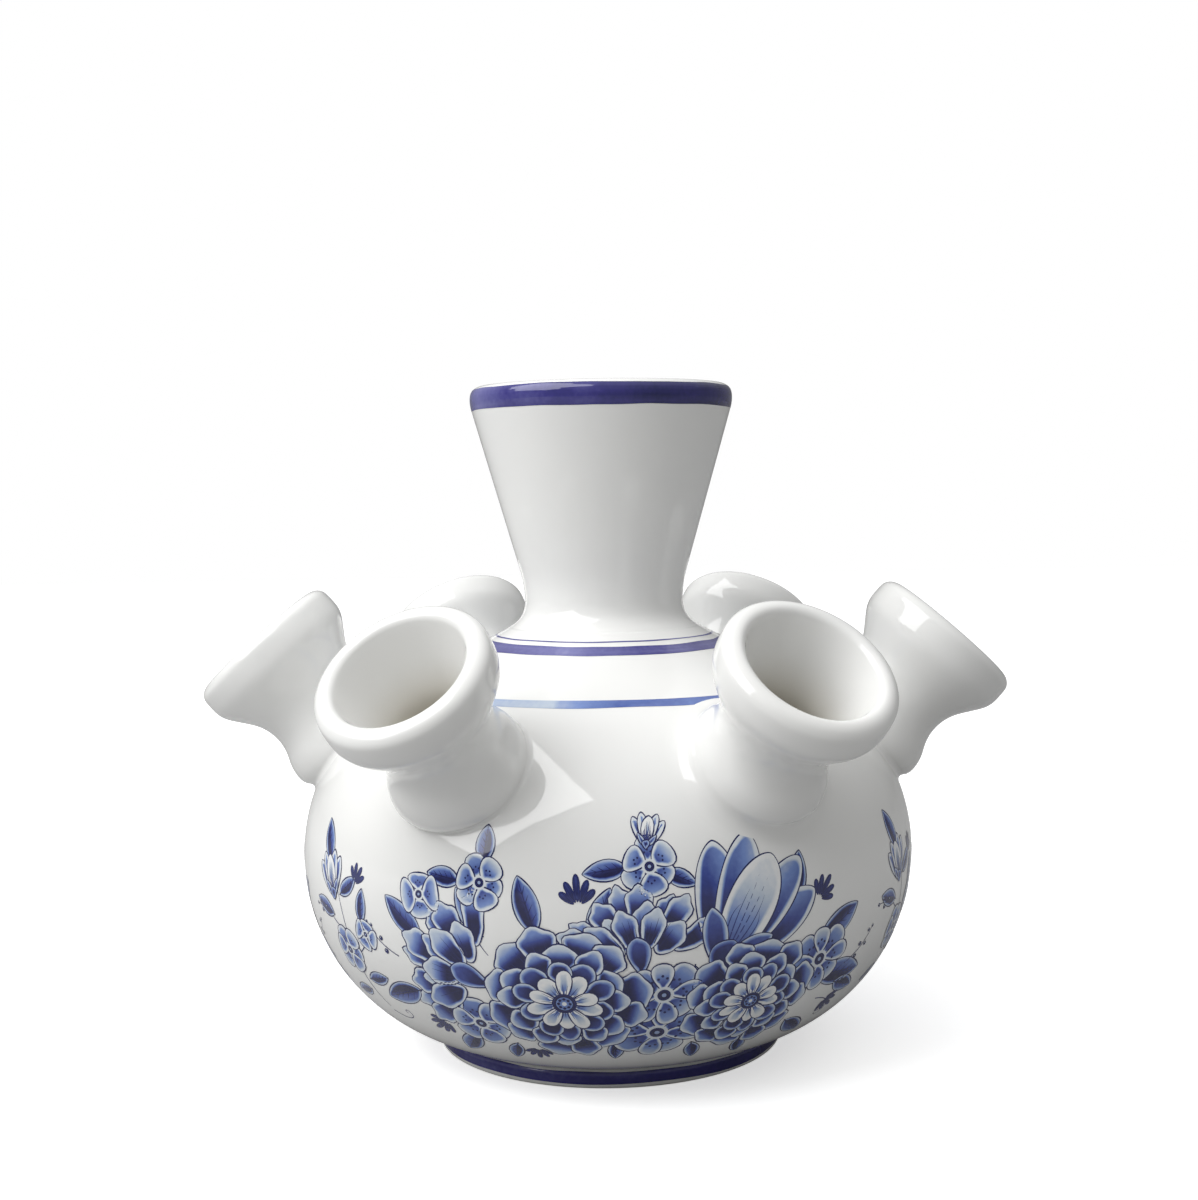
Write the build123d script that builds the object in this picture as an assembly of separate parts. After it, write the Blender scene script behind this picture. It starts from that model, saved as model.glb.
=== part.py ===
from build123d import *
from math import asin, atan2, cos, degrees, hypot, radians, sin, sqrt
import os

# Flower vase with a flared neck and a ring of flared spouts, in glazed earthenware.
# Millimetres, +Z up. The origin is the centre of the face that the foot rests on,
# and -Y is the front, which lies half way between two spouts.

# Foot ring
foot_height = 4.2
foot_ring_width = 6.0
foot_overhang = 1.1       # how far the ring stands out past the body's base
foot_draft = 0.5          # the ring's outside is this much narrower at the bottom
foot_edge_round = 0.9
foot_shoulder_round = 1.0  # rounds the ring's top edge, which leaves a groove below the body

# Body
body_radius = 69.5        # outside, at the widest level
base_radius = 38.8        # outside, where the body stands on its foot ring
belly_rise = 40.8         # from the foot ring up to the widest level
shoulder_rise = 50.4      # from the widest level up to the neck's seat
lower_bend = 44.0         # radius of the outside's curve just below the widest level
lower_turn = 30.0         # degrees that this curve turns, before it tightens to the base
upper_bend = 40.0         # the same just above the widest level
upper_turn = 40.5
collar_radius = 36.0      # outside this the shoulder is round, inside it it climbs to the neck
collar_drop = 7.2         # from the neck's seat down to there
body_wall = 3.9
floor_thickness = 5.0
floor_round = 7.0         # inside, where the floor turns up into the wall

# Neck
neck_height = 54.6        # from its seat on the body to the top of the lip
neck_root_radius = 21.2
neck_waist_radius = 18.1
neck_waist_rise = 5.2     # from the seat up to the narrowest level
neck_mouth_radius = 29.9  # outside, where the mouth is widest
neck_mouth_rise = 51.5    # from the seat up to there
neck_bend = 28.0          # radius of the outside curve from the waist into the cone
neck_mouth_bend = 8.0     # and from the cone up to where the mouth is widest
neck_lip_round = 2.6      # on the outside of the lip
neck_lip_inner_round = 1.4
neck_wall = 4.0

# Spouts
spout_count = 6
spout_level = 71.0        # height at which a spout's axis comes out of the body
spout_tilt = 48.0         # degrees above the horizontal
spout_length = 29.6       # along the axis, from the body's surface to the mouth
spout_mouth_radius = 18.5  # outside, where the mouth is widest
spout_mouth_rise = 24.3   # along the axis, from the body's surface up to there
spout_waist_radius = 12.4
spout_waist_rise = 9.8
spout_bend = 11.5         # radius of the outside curve from the waist into the cone
spout_mouth_bend = 7.0    # and from the cone up to where the mouth is widest
spout_lip_round = 3.0     # on the outside of the lip
spout_lip_inner_round = 1.8
spout_root_radius = 14.9
spout_root_drop = 0.3     # where the root is widest, below the body's surface on the axis
spout_root_round = 4.0    # curls the root in below there
spout_root_turn = 75.0    # degrees of that curl
spout_wall = 3.8          # at the waist, and the bore runs straight on down from there

# Levels that follow from these sizes
belly_level = foot_height + belly_rise
neck_seat = belly_level + shoulder_rise
height = neck_seat + neck_height
neck_bore_radius = neck_waist_radius - neck_wall
spout_bore_radius = spout_waist_radius - spout_wall


def turned(outline):
    """The solid that a closed outline of (radius, height) makes about the Z axis."""
    return revolve(make_face(Plane.XZ * outline), Axis.Z)


def inward(arc, wall):
    """The concentric arc one wall thickness inside an arc that runs up the outside."""
    start = arc @ 0 - side_of(arc % 0) * wall
    end = arc @ 1 - side_of(arc % 1) * wall
    return TangentArc(start, end, tangent=arc % 0)


def side_of(direction):
    """The outward normal where the outside runs in this direction, upwards."""
    return Vector(direction.Y, -direction.X)


def s_curve(low, high):
    """Two equal arcs from one point to another, upright at both ends."""
    middle = (Vector(*low) + Vector(*high)) / 2
    return TangentArc(low, middle, tangent=(0, 1)) + TangentArc(high, middle, tangent=(0, -1))


def lean_between(low, low_round, high, high_round):
    """The lean from the upright, in degrees, of the line that touches two circles at their
    left, or a circle with a negative radius at its right."""
    across = high - low
    turn = asin((low_round - high_round) / hypot(across.X, across.Y))
    return degrees(atan2(across.X, across.Y) + turn)


def touching_line(low, low_round, high, high_round):
    """That line, from circle to circle, and its lean."""
    lean = lean_between(low, low_round, high, high_round)
    left = Vector(-cos(radians(lean)), sin(radians(lean)))
    return Line(low + left * low_round, high + left * high_round), lean


def flared_tube(
    waist, waist_level, bend, mouth, mouth_level, mouth_bend, top, lip, lip_inner, wall
):
    """Both sides of a tube from its waist up to a thick rounded lip: the outside's bend, cone
    and mouth, the lip, and the inside's cone and bend."""
    bend_centre = Vector(waist + bend, waist_level)
    mouth_centre = Vector(mouth - mouth_bend, mouth_level)
    cone, lean = touching_line(bend_centre, bend, mouth_centre, -mouth_bend)
    outside = JernArc((waist, waist_level), (0, 1), bend, -lean) + cone
    outside += CenterArc(mouth_centre, mouth_bend, -lean, lean)
    outside += Line((mouth, mouth_level), (mouth, top - lip))
    rim = CenterArc((mouth - lip, top - lip), lip, 0, 90)
    lip_centre = Vector(mouth - lip, top - lip_inner)
    inner_cone, lean = touching_line(bend_centre, bend + wall, lip_centre, lip_inner)
    rim += CenterArc(lip_centre, lip_inner, 90, 90 - lean)
    inside = inner_cone + JernArc((waist - wall, waist_level), (0, 1), bend + wall, -lean)
    return outside + rim + inside


def body_arcs():
    """The arcs of the body's outside, each running upwards: base, lower and upper belly,
    shoulder and collar."""
    widest = (body_radius, belly_level)
    fall = JernArc(widest, (0, -1), lower_bend, -lower_turn)
    lower = TangentArc(fall @ 1, widest, tangent=-(fall % 1))
    base = TangentArc(fall @ 1, (base_radius, foot_height), tangent=fall % 1)
    base = TangentArc(base @ 1, fall @ 1, tangent=-(base % 1))
    upper = JernArc(widest, (0, 1), upper_bend, upper_turn)
    collar_start = (collar_radius, neck_seat - collar_drop)
    shoulder = TangentArc(upper @ 1, collar_start, tangent=upper % 1)
    collar = TangentArc(collar_start, (neck_root_radius, neck_seat), tangent=shoulder % 1)
    return [base, lower, upper, shoulder, collar]


def body_outside():
    """The body without its hollow. The spouts' roots are cut to fit against this surface."""
    ends = Polyline(
        (neck_root_radius, neck_seat), (0, neck_seat), (0, foot_height), (base_radius, foot_height)
    )
    return turned(Curve() + body_arcs() + ends)


def body_hollow():
    """The space inside the body, one wall inside its outer surface, with a flat floor."""
    arcs = [inward(arc, body_wall) for arc in body_arcs()]
    bottom = arcs[0] @ 0
    top = arcs[-1] @ 1
    ends = Polyline(top, (0, top.Y), (0, bottom.Y), bottom)
    hollow = turned(Curve() + arcs + ends)
    hollow = split(hollow, Plane.XY.offset(foot_height + floor_thickness), keep=Keep.TOP)
    floor_edge = hollow.edges().sort_by(Axis.Z)[0]
    return fillet(floor_edge, floor_round)


def body_surface_radius(level):
    """Outer radius of the body at a height on its upper belly."""
    rise = level - belly_level
    return body_radius - upper_bend + sqrt(upper_bend ** 2 - rise ** 2)


def spout_frame():
    """The first spout's own frame: its origin on the body's surface, its Z along the spout."""
    turn = radians(-90 - 180 / spout_count)
    lean = radians(spout_tilt)
    seat = body_surface_radius(spout_level)
    axis = Vector(cos(turn) * cos(lean), sin(turn) * cos(lean), sin(lean))
    return Plane(origin=(seat * cos(turn), seat * sin(turn), spout_level), z_dir=axis)


def round_the_body(number):
    """The turn about the body's axis from the first spout to another."""
    return Rot(0, 0, -360 / spout_count * (number - 1))


def make_foot_ring():
    top = base_radius + foot_overhang
    bottom = top - foot_draft
    inside = top - foot_ring_width
    outline = Polyline(
        (inside, foot_height), (inside, 0), (bottom, 0), (top, foot_height), (inside, foot_height)
    )
    ring = turned(outline)
    rims = ring.edges().group_by(Axis.Z)
    ring = fillet(rims[0], foot_edge_round)
    top_rim = ring.edges().group_by(Axis.Z)[-1].sort_by(SortBy.LENGTH)[-1]
    return fillet(top_rim, foot_shoulder_round)


def make_body(outside):
    body = outside - body_hollow()
    body -= Pos(0, 0, belly_level) * Cylinder(
        neck_bore_radius, shoulder_rise, align=(Align.CENTER, Align.CENTER, Align.MIN)
    )
    # Each hole carries on the spout's bore, from outside the wall to well inside the hollow.
    reach = spout_root_radius + body_wall
    drill = Cylinder(spout_bore_radius, 2 * reach)
    for number in range(1, spout_count + 1):
        body -= round_the_body(number) * spout_frame().location * drill
    return body


def make_neck():
    waist_level = neck_seat + neck_waist_rise
    tube = flared_tube(
        neck_waist_radius, waist_level, neck_bend,
        neck_mouth_radius, neck_seat + neck_mouth_rise, neck_mouth_bend,
        height, neck_lip_round, neck_lip_inner_round, neck_wall,
    )
    root = TangentArc(
        (neck_waist_radius, waist_level), (neck_root_radius, neck_seat), tangent=(0, -1)
    )
    seat = Polyline(
        (neck_bore_radius, waist_level), (neck_bore_radius, neck_seat),
        (neck_root_radius, neck_seat),
    )
    return turned(tube + root + seat)


def make_spout(outside):
    tube = flared_tube(
        spout_waist_radius, spout_waist_rise, spout_bend,
        spout_mouth_radius, spout_mouth_rise, spout_mouth_bend,
        spout_length, spout_lip_round, spout_lip_inner_round, spout_wall,
    )
    widest = (spout_root_radius, -spout_root_drop)
    root = s_curve(widest, (spout_waist_radius, spout_waist_rise))
    curl = JernArc(widest, (0, -1), spout_root_round, -spout_root_turn)
    # The root runs on below the surface, and the body's shape then cuts it to fit.
    curled = curl @ 1
    sunk = -spout_root_radius
    bore = Polyline(
        (spout_bore_radius, spout_waist_rise), (spout_bore_radius, sunk), (curled.X, sunk), curled
    )
    spout = turned(tube + root + curl + bore)
    return spout_frame().location * spout - outside


outside = body_outside()
nodes = {
    "foot_ring": make_foot_ring(),
    "body": make_body(outside),
    "neck": make_neck(),
}
first_spout = make_spout(outside)
for number in range(1, spout_count + 1):
    nodes[f"spout_{number}"] = round_the_body(number) * first_spout

os.makedirs("parts", exist_ok=True)
for name, shape in nodes.items():
    export_step(shape, f"parts/{name}.step")
    box = shape.bounding_box()
    print(name, len(shape.solids()), round(shape.volume), box.min, box.max)
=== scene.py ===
import bmesh
import bpy
from bisect import bisect
from math import asin, atan2, ceil, cos, hypot, pi, radians, sin, sqrt, tau
from mathutils import Matrix, Vector, noise


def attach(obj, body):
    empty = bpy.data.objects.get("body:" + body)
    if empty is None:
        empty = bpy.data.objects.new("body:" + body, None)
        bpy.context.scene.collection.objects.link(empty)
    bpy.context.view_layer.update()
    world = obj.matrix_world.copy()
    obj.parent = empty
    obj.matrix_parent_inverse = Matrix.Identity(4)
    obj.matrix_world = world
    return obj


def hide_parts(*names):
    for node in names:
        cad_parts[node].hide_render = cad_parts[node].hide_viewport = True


# White glazed vase with a ring of spouts, painted in blue. Metres, +Z up, front towards -Y.
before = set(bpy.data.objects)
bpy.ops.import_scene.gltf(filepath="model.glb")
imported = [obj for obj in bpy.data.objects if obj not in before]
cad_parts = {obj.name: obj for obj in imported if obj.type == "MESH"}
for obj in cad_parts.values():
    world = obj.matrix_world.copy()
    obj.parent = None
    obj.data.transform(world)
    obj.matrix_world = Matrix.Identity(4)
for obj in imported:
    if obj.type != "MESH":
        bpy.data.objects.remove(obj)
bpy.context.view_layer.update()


def clamped(value, low=0, high=1):
    return min(max(value, low), high)


# From 0 to 1 with a soft start and end
def eased(share):
    return share * share * (3 - 2 * share)


def direction(turn):
    return Vector((cos(turn), sin(turn)))


# Outlines are lists of 2D points: radius, height

def arcPoints(centre, radius, first, last, spacing):
    count = max(2, ceil(abs(last - first) * radius / spacing))
    return [
        centre + radius * direction(first + (last - first) * step / count)
        for step in range(count + 1)
    ]


def linePoints(start, end, spacing):
    count = max(1, ceil((end - start).length / spacing))
    return [start.lerp(end, step / count) for step in range(count + 1)]


# The arc that leaves start with this heading and ends at end, with its heading there
def bendTo(start, heading, end, spacing):
    chord = end - start
    half = atan2(heading.cross(chord), heading.dot(chord))
    radius = chord.length / (2 * sin(half))
    centre = start + heading.orthogonal() * radius
    count = max(2, ceil(abs(2 * half * radius) / spacing))
    turns = [Matrix.Rotation(2 * half * step / count, 2) for step in range(count + 1)]
    return [centre + turn @ (start - centre) for turn in turns], turns[-1] @ heading


def joined(*runs):
    points = list(runs[0])
    for run in runs[1:]:
        points += run[1:]
    return points


# Evens out the bends where arcs of different radius meet
def softened(points, passes):
    for _ in range(passes):
        inner = [(a + 2 * b + c) / 4 for a, b, c in zip(points, points[1:], points[2:])]
        points = [points[0], *inner, points[-1]]
    return points


# The outline moved sideways, to the left of its run
def offsetOutline(points, distance):
    moved = []
    for index, point in enumerate(points):
        before = points[max(index - 1, 0)]
        after = points[min(index + 1, len(points) - 1)]
        moved.append(point + (after - before).normalized().orthogonal() * distance)
    return moved


# The line that touches two circles at their left, or a negative one at its right
def touchingLine(low, lowRadius, high, highRadius):
    across = high - low
    lean = atan2(across.x, across.y) + asin((lowRadius - highRadius) / across.length)
    left = Vector((-cos(lean), sin(lean)))
    return low + left * lowRadius, high + left * highRadius, lean


# Outside, lip and inside of a tube from its waist up to its thick lip
def flaredTube(sizes):
    bend, wall, spacing = sizes["bend"], sizes["wall"], sizes["spacing"]
    mouth, mouthBend, top = sizes["mouthRadius"], sizes["mouthBend"], sizes["top"]
    lip, lipInner = sizes["lipRound"], sizes["lipInnerRound"]
    bendCentre = Vector((sizes["waistRadius"] + bend, sizes["waistLevel"]))
    mouthCentre = Vector((mouth - mouthBend, sizes["mouthLevel"]))
    start, end, lean = touchingLine(bendCentre, bend, mouthCentre, -mouthBend)
    outside = joined(
        arcPoints(bendCentre, bend, pi, pi - lean, spacing),
        linePoints(start, end, spacing),
        arcPoints(mouthCentre, mouthBend, -lean, 0, spacing),
        arcPoints(Vector((mouth - lip, top - lip)), lip, 0, pi / 2, spacing / 2),
    )
    lipCentre = Vector((mouth - lip, top - lipInner))
    start, end, lean = touchingLine(bendCentre, bend + wall, lipCentre, lipInner)
    inside = joined(
        arcPoints(lipCentre, lipInner, pi / 2, pi - lean, spacing / 3),
        linePoints(end, start, spacing),
        arcPoints(bendCentre, bend + wall, pi - lean, pi, spacing),
    )
    return joined(outside, inside)


def deselect():
    if bpy.context.object and bpy.context.object.mode == "EDIT":
        bpy.ops.object.mode_set(mode="OBJECT")
    bpy.ops.object.select_all(action="DESELECT")


def addToScene(name, data):
    item = bpy.data.objects.new(name, data)
    bpy.context.scene.collection.objects.link(item)
    return item


def selectMesh():
    bpy.ops.mesh.select_all(action="SELECT")


# Makes this piece the selected and active one
def pick(piece):
    deselect()
    bpy.context.view_layer.objects.active = piece
    piece.select_set(True)


# Vertices nearer than this are one, and an edge sharper than this stays sharp
samePlace = 1e-6
sharpTurn = radians(40)


# One vertex is drawn out along the outline, as a profile, and spun round the Z axis
def turnedPiece(name, outline, steps):
    deselect()
    bpy.ops.mesh.primitive_plane_add(size=0.001, location=(0, 0, 0))
    piece = bpy.context.object
    piece.name = piece.data.name = name
    bpy.ops.object.mode_set(mode="EDIT")
    selectMesh()
    bpy.ops.mesh.merge(type="CENTER")
    bpy.ops.transform.translate(value=(outline[0].x, 0, outline[0].y))
    for before, after in zip(outline, outline[1:]):
        step = after - before
        bpy.ops.mesh.extrude_region_move(TRANSFORM_OT_translate={"value": (step.x, 0, step.y)})
    selectMesh()
    bpy.ops.mesh.spin(steps=steps, angle=tau, center=(0, 0, 0), axis=(0, 0, 1))
    selectMesh()
    bpy.ops.mesh.remove_doubles(threshold=samePlace)
    bpy.ops.mesh.normals_make_consistent(inside=False)
    bpy.ops.object.mode_set(mode="OBJECT")
    bpy.ops.object.shade_smooth_by_angle(angle=sharpTurn)
    return piece


# How far down a tube's bore each vertex lies, as a share. There the glaze gets a painted shade, warm
# and darker further down.
def markThroatShade(piece, place, top, depth):
    inverse = place.inverted()
    shares = []
    for v in piece.data.vertices:
        local = inverse @ v.co
        facing = inverse.to_3x3() @ v.normal
        inside = facing.x * local.x + facing.y * local.y < 0
        shares.append(eased(clamped((top - local.z) / depth)) if inside else 0)
    piece.data.attributes.new("throatShade", "FLOAT", "POINT").data.foreach_set("value", shares)


def finishPiece(piece, material, *nodes):
    piece.data.materials.clear()
    piece.data.materials.append(material)
    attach(piece, "root")
    if nodes:
        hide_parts(*nodes)


# Camera: placed where the photograph was taken from

cameraSizes = {
    "place": (-0.00113, -0.3927, 0.1273),
    "downward": radians(3.84),
    "roll": radians(0.9),
    "lens": 51.31,
    "sensor": 36,
    "nearest": 0.01,
}


def makeCamera(sizes):
    camera = addToScene("camera", bpy.data.cameras.new("camera"))
    camera.data.lens = sizes["lens"]
    camera.data.sensor_width = sizes["sensor"]
    camera.data.clip_start = sizes["nearest"]
    tilt = Matrix.Rotation(pi / 2 - sizes["downward"], 4, "X")
    roll = Matrix.Rotation(-sizes["roll"], 4, "Z")
    camera.matrix_world = Matrix.Translation(sizes["place"]) @ tilt @ roll
    bpy.context.scene.camera = camera


makeCamera(cameraSizes)
print("camera placed")


# Body: the same arcs as its solid

bodySizes = {
    "footHeight": 0.0042,
    "radius": 0.0695,
    "baseRadius": 0.0388,
    "widestLevel": 0.045,
    "lowerBend": 0.044,
    "lowerTurn": radians(30),
    "upperBend": 0.040,
    "upperTurn": radians(40.5),
    "collarRadius": 0.036,
    "collarLevel": 0.0882,
    "neckRadius": 0.0212,
    "neckLevel": 0.0954,
    "wall": 0.0039,
    "floorLevel": 0.0092,
    "floorClear": 0.005,
    "floorRound": 0.006,
    "floorHeading": (-0.6, -0.8),
    "boreRadius": 0.0141,
    "spacing": 0.001,
    "seatSpacing": 0.002,
    "floorSpacing": 0.003,
    "softPasses": 12,
    "steps": 256,
}


# Up the outside: from the widest level an arc and a bend run down to the base, and another
# arc and bend up to the collar
def bodyOutside(sizes):
    spacing = sizes["spacing"]

    def bulge(bend, turn, side, end):
        centre = Vector((sizes["radius"] - bend, sizes["widestLevel"]))
        arc = arcPoints(centre, bend, 0, side * turn, spacing)
        onward, heading = bendTo(arc[-1], Vector((-sin(turn), side * cos(turn))), end, spacing)
        return joined(arc, onward), heading

    foot = Vector((sizes["baseRadius"], sizes["footHeight"]))
    lower, _ = bulge(sizes["lowerBend"], sizes["lowerTurn"], -1, foot)
    collarStart = Vector((sizes["collarRadius"], sizes["collarLevel"]))
    upper, heading = bulge(sizes["upperBend"], sizes["upperTurn"], 1, collarStart)
    neckStart = Vector((sizes["neckRadius"], sizes["neckLevel"]))
    collar, _ = bendTo(collarStart, heading, neckStart, spacing)
    return softened(joined(lower[::-1], upper, collar), sizes["softPasses"])


# Outside of neck and body. The joint between them is wiped smooth.

neckSizes = {
    "rootRadius": 0.0212,
    "seatLevel": 0.0954,
    "waistRadius": 0.0181,
    "waistLevel": 0.1006,
    "mouthRadius": 0.0299,
    "mouthLevel": 0.1469,
    "top": 0.150,
    "bend": 0.028,
    "mouthBend": 0.008,
    "lipRound": 0.0026,
    "lipInnerRound": 0.0014,
    "wall": 0.004,
    "throatTop": 0.140,
    "throatDepth": 0.04,
    "spacing": 0.001,
    "rootSpacing": 0.0005,
    "seatSpacing": 0.002,
    "softPasses": 3,
    "steps": 256,
}


def neckOutside(sizes):
    root, _ = bendTo(
        Vector((sizes["waistRadius"], sizes["waistLevel"])), Vector((0, -1)),
        Vector((sizes["rootRadius"], sizes["seatLevel"])), sizes["rootSpacing"],
    )
    return softened(joined(root[::-1], flaredTube(sizes)), sizes["softPasses"])


# Softens two outlines together over some points to each side of the joint between them
def wipedJoint(low, high, reach, passes):
    both = softened(joined(low[-reach:], high[:reach]), passes)
    return low[:-reach] + both[:reach], both[reach - 1:] + high[reach:]


bodyOutline, neckOutline = wipedJoint(
    bodyOutside(bodySizes), neckOutside(neckSizes), reach=14, passes=8
)


def makeBody(sizes, outline):
    floorLevel, bore = sizes["floorLevel"], sizes["boreRadius"]
    fine, coarse = sizes["seatSpacing"], sizes["floorSpacing"]
    inside = offsetOutline(outline, sizes["wall"])
    inside = [point for point in inside[::2] if point.y > floorLevel + sizes["floorClear"]]
    floorEdge = Vector((inside[0].x - sizes["floorRound"], floorLevel))
    toFloor, _ = bendTo(inside[0], Vector(sizes["floorHeading"]), floorEdge, sizes["spacing"])
    floor = linePoints(toFloor[-1], Vector((0, floorLevel)), coarse)
    top = linePoints(Vector((bore, inside[-1].y)), inside[-1], fine)
    seat = linePoints(outline[-1], Vector((bore, outline[-1].y)), fine)
    bottom = linePoints(Vector((0, sizes["footHeight"])), outline[0], coarse)
    inner = joined(top, inside[::-1], toFloor, floor)
    return turnedPiece("body", joined(bottom, outline, seat, inner), sizes["steps"])


# Spouts: turned round their own axis, then set on the body

spoutSizes = {
    "count": 6,
    "level": 0.071,
    "tilt": radians(48),
    "top": 0.0296,
    "mouthRadius": 0.0185,
    "mouthLevel": 0.0243,
    "waistRadius": 0.0124,
    "waistLevel": 0.0098,
    "bend": 0.0115,
    "mouthBend": 0.007,
    "lipRound": 0.003,
    "lipInnerRound": 0.0018,
    "wall": 0.0038,
    "rootRadius": 0.0149,
    "rootLevel": -0.0003,
    "rootRound": 0.004,
    "deepest": 0.96,
    "boreBottom": -0.003,
    "boreSpacing": 0.001,
    "split": 0.004,
    "spacing": 0.0007,
    "softPasses": 3,
    "steps": 128,
    "throatTop": 0.022,
    "throatDepth": 0.016,
    "creaseDepth": 0.008,
    "halvings": 24,
    "rootRows": 6,
    "jointRows": 9,
    "tailReach": 0.0012,
    "tailDepth": 0.00006,
    "drillSides": 64,
    "drillDepth": 0.036,
    "drillSpare": 0.00005,
}


def bodyRadiusAt(height):
    for low, high in zip(bodyOutline, bodyOutline[1:]):
        if low.y <= height <= high.y:
            return low.lerp(high, (height - low.y) / (high.y - low.y)).x
    return 0


# Nearest point on the body's outside, with its outward normal
def onBody(point):
    across = hypot(point.x, point.y)
    flat = Vector((across, point.z))
    best, normal, least = None, None, 1
    for low, high in zip(bodyOutline, bodyOutline[1:]):
        run = high - low
        share = clamped((flat - low).dot(run) / run.length_squared)
        near = low + run * share
        distance = (flat - near).length
        if distance < least:
            best, normal, least = near, Vector((run.y, -run.x)).normalized(), distance
    out = Vector((point.x, point.y, 0)) / across
    place = Vector((out.x * best.x, out.y * best.x, best.y))
    return place, Vector((out.x * normal.x, out.y * normal.x, normal.y))


def outsideBody(point):
    place, normal = onBody(point)
    return (point - place).dot(normal)


# Outside radius of the root at a height above its seat: it curls in below its widest level
def rootRadiusAt(sizes, height):
    low, high = sizes["rootLevel"], sizes["waistLevel"]
    root, waist, curl = sizes["rootRadius"], sizes["waistRadius"], sizes["rootRound"]
    if height < low:
        return root - curl + sqrt(curl ** 2 - min(low - height, curl * sizes["deepest"]) ** 2)
    bend = ((root - waist) ** 2 + (high - low) ** 2) / (4 * (root - waist))
    if height < (low + high) / 2:
        return root - bend + sqrt(bend ** 2 - (height - low) ** 2)
    return waist + bend - sqrt(bend ** 2 - (high - height) ** 2)


def spoutOutline(sizes):
    split, waist = sizes["split"], sizes["waistLevel"]
    count = ceil((waist - split) / sizes["spacing"])
    rises = [split + (waist - split) * step / count for step in range(count + 1)]
    root = [Vector((rootRadiusAt(sizes, rise), rise)) for rise in rises]
    bore = sizes["waistRadius"] - sizes["wall"]
    outline = softened(joined(root, flaredTube(sizes)), sizes["softPasses"])
    bottom = Vector((bore, sizes["boreBottom"]))
    return joined(outline, linePoints(Vector((bore, waist)), bottom, sizes["boreSpacing"]))


def spoutPlace(sizes, number):
    turn = -pi / 2 - tau / sizes["count"] * (number - 0.5)
    seat = bodyRadiusAt(sizes["level"])
    axis = Vector((
        cos(turn) * cos(sizes["tilt"]), sin(turn) * cos(sizes["tilt"]), sin(sizes["tilt"])
    ))
    across = Vector((-sin(turn), cos(turn), 0))
    up = axis.cross(across)
    place = Matrix((across, up, axis)).transposed().to_4x4()
    place.translation = Vector((seat * cos(turn), seat * sin(turn), sizes["level"]))
    return place


# Draws the spout's lower edge out into rows that curve down on to the body
def growJoint(piece, sizes, place, joint):
    mesh = piece.data
    inverse = place.inverted()
    edges = bmesh.new()
    edges.from_mesh(mesh)
    ring = [
        v.index for v in edges.verts
        if v.is_boundary and (inverse @ v.co).z > 0
    ]
    edges.free()
    rows = [rootRows(sizes, inverse @ mesh.vertices[index].co, place, joint) for index in ring]
    pick(piece)
    bpy.ops.object.mode_set(mode="EDIT")
    for row in range(len(rows[0])):
        bpy.ops.mesh.select_all(action="DESELECT")
        edit = bmesh.from_edit_mesh(mesh)
        inRing = set(ring)
        for edge in edit.edges:
            edge.select_set(edge.is_boundary and {v.index for v in edge.verts} <= inRing)
        bpy.ops.mesh.extrude_edges_move()
        edit = bmesh.from_edit_mesh(mesh)
        edit.verts.ensure_lookup_table()
        edit.verts.index_update()
        for spot, index in enumerate(ring):
            old = edit.verts[index]
            new = [e.other_vert(old) for e in old.link_edges if e.other_vert(old).select][0]
            new.co = rows[spot][row]
            ring[spot] = new.index
        bmesh.update_edit_mesh(mesh)
    selectMesh()
    bpy.ops.mesh.normals_make_consistent(inside=False)
    bpy.ops.object.mode_set(mode="OBJECT")


# Points down the root from one point of its edge, then along a soft curve round the crease,
# which is found by halving
def rootRows(sizes, local, place, joint):
    out = Vector((local.x, local.y, 0)).normalized()
    split, count = sizes["split"], sizes["rootRows"]

    def onRoot(height):
        return place @ (out * rootRadiusAt(sizes, height) + Vector((0, 0, height)))

    low, high = -sizes["creaseDepth"], split
    for _ in range(sizes["halvings"]):
        middle = (low + high) / 2
        low, high = (low, middle) if outsideBody(onRoot(middle)) > 0 else (middle, high)
    crease, normal = onBody(onRoot(low))
    away = place.to_3x3() @ out
    away = (away - normal * away.dot(normal)).normalized()
    start = min(low + joint["onSpout"], split)
    above = onRoot(start)
    foot, _ = onBody(crease + away * joint["onBody"])
    tail, tailNormal = onBody(crease + away * (joint["onBody"] + sizes["tailReach"]))
    points = [onRoot(split + (start - split) * step / count) for step in range(1, count + 1)]
    for step in range(1, sizes["jointRows"] + 1):
        t = step / sizes["jointRows"]
        points.append(above * (1 - t) ** 2 + crease * 2 * t * (1 - t) + foot * t ** 2)
    return [*points, tail - tailNormal * sizes["tailDepth"]]


# onSpout and onBody are how far the soft joint climbs the spout and spreads on the body
spoutJoints = {
    1: {"onSpout": 0.0009, "onBody": 0.0010},
    2: {"onSpout": 0.0016, "onBody": 0.0020},
    3: {"onSpout": 0.0020, "onBody": 0.0024},
    4: {"onSpout": 0.0020, "onBody": 0.0024},
    5: {"onSpout": 0.0016, "onBody": 0.0020},
    6: {"onSpout": 0.0034, "onBody": 0.0042},
}


def makeSpout(sizes, number, joint):
    piece = turnedPiece(f"spout_{number}", spoutOutline(sizes), sizes["steps"])
    place = spoutPlace(sizes, number)
    piece.data.transform(place)
    growJoint(piece, sizes, place, joint)
    bpy.ops.object.shade_smooth_by_angle(angle=sharpTurn)
    # Marks where the glaze gets painted shade down the bore
    markThroatShade(piece, place, sizes["throatTop"], sizes["throatDepth"])
    return piece


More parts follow.
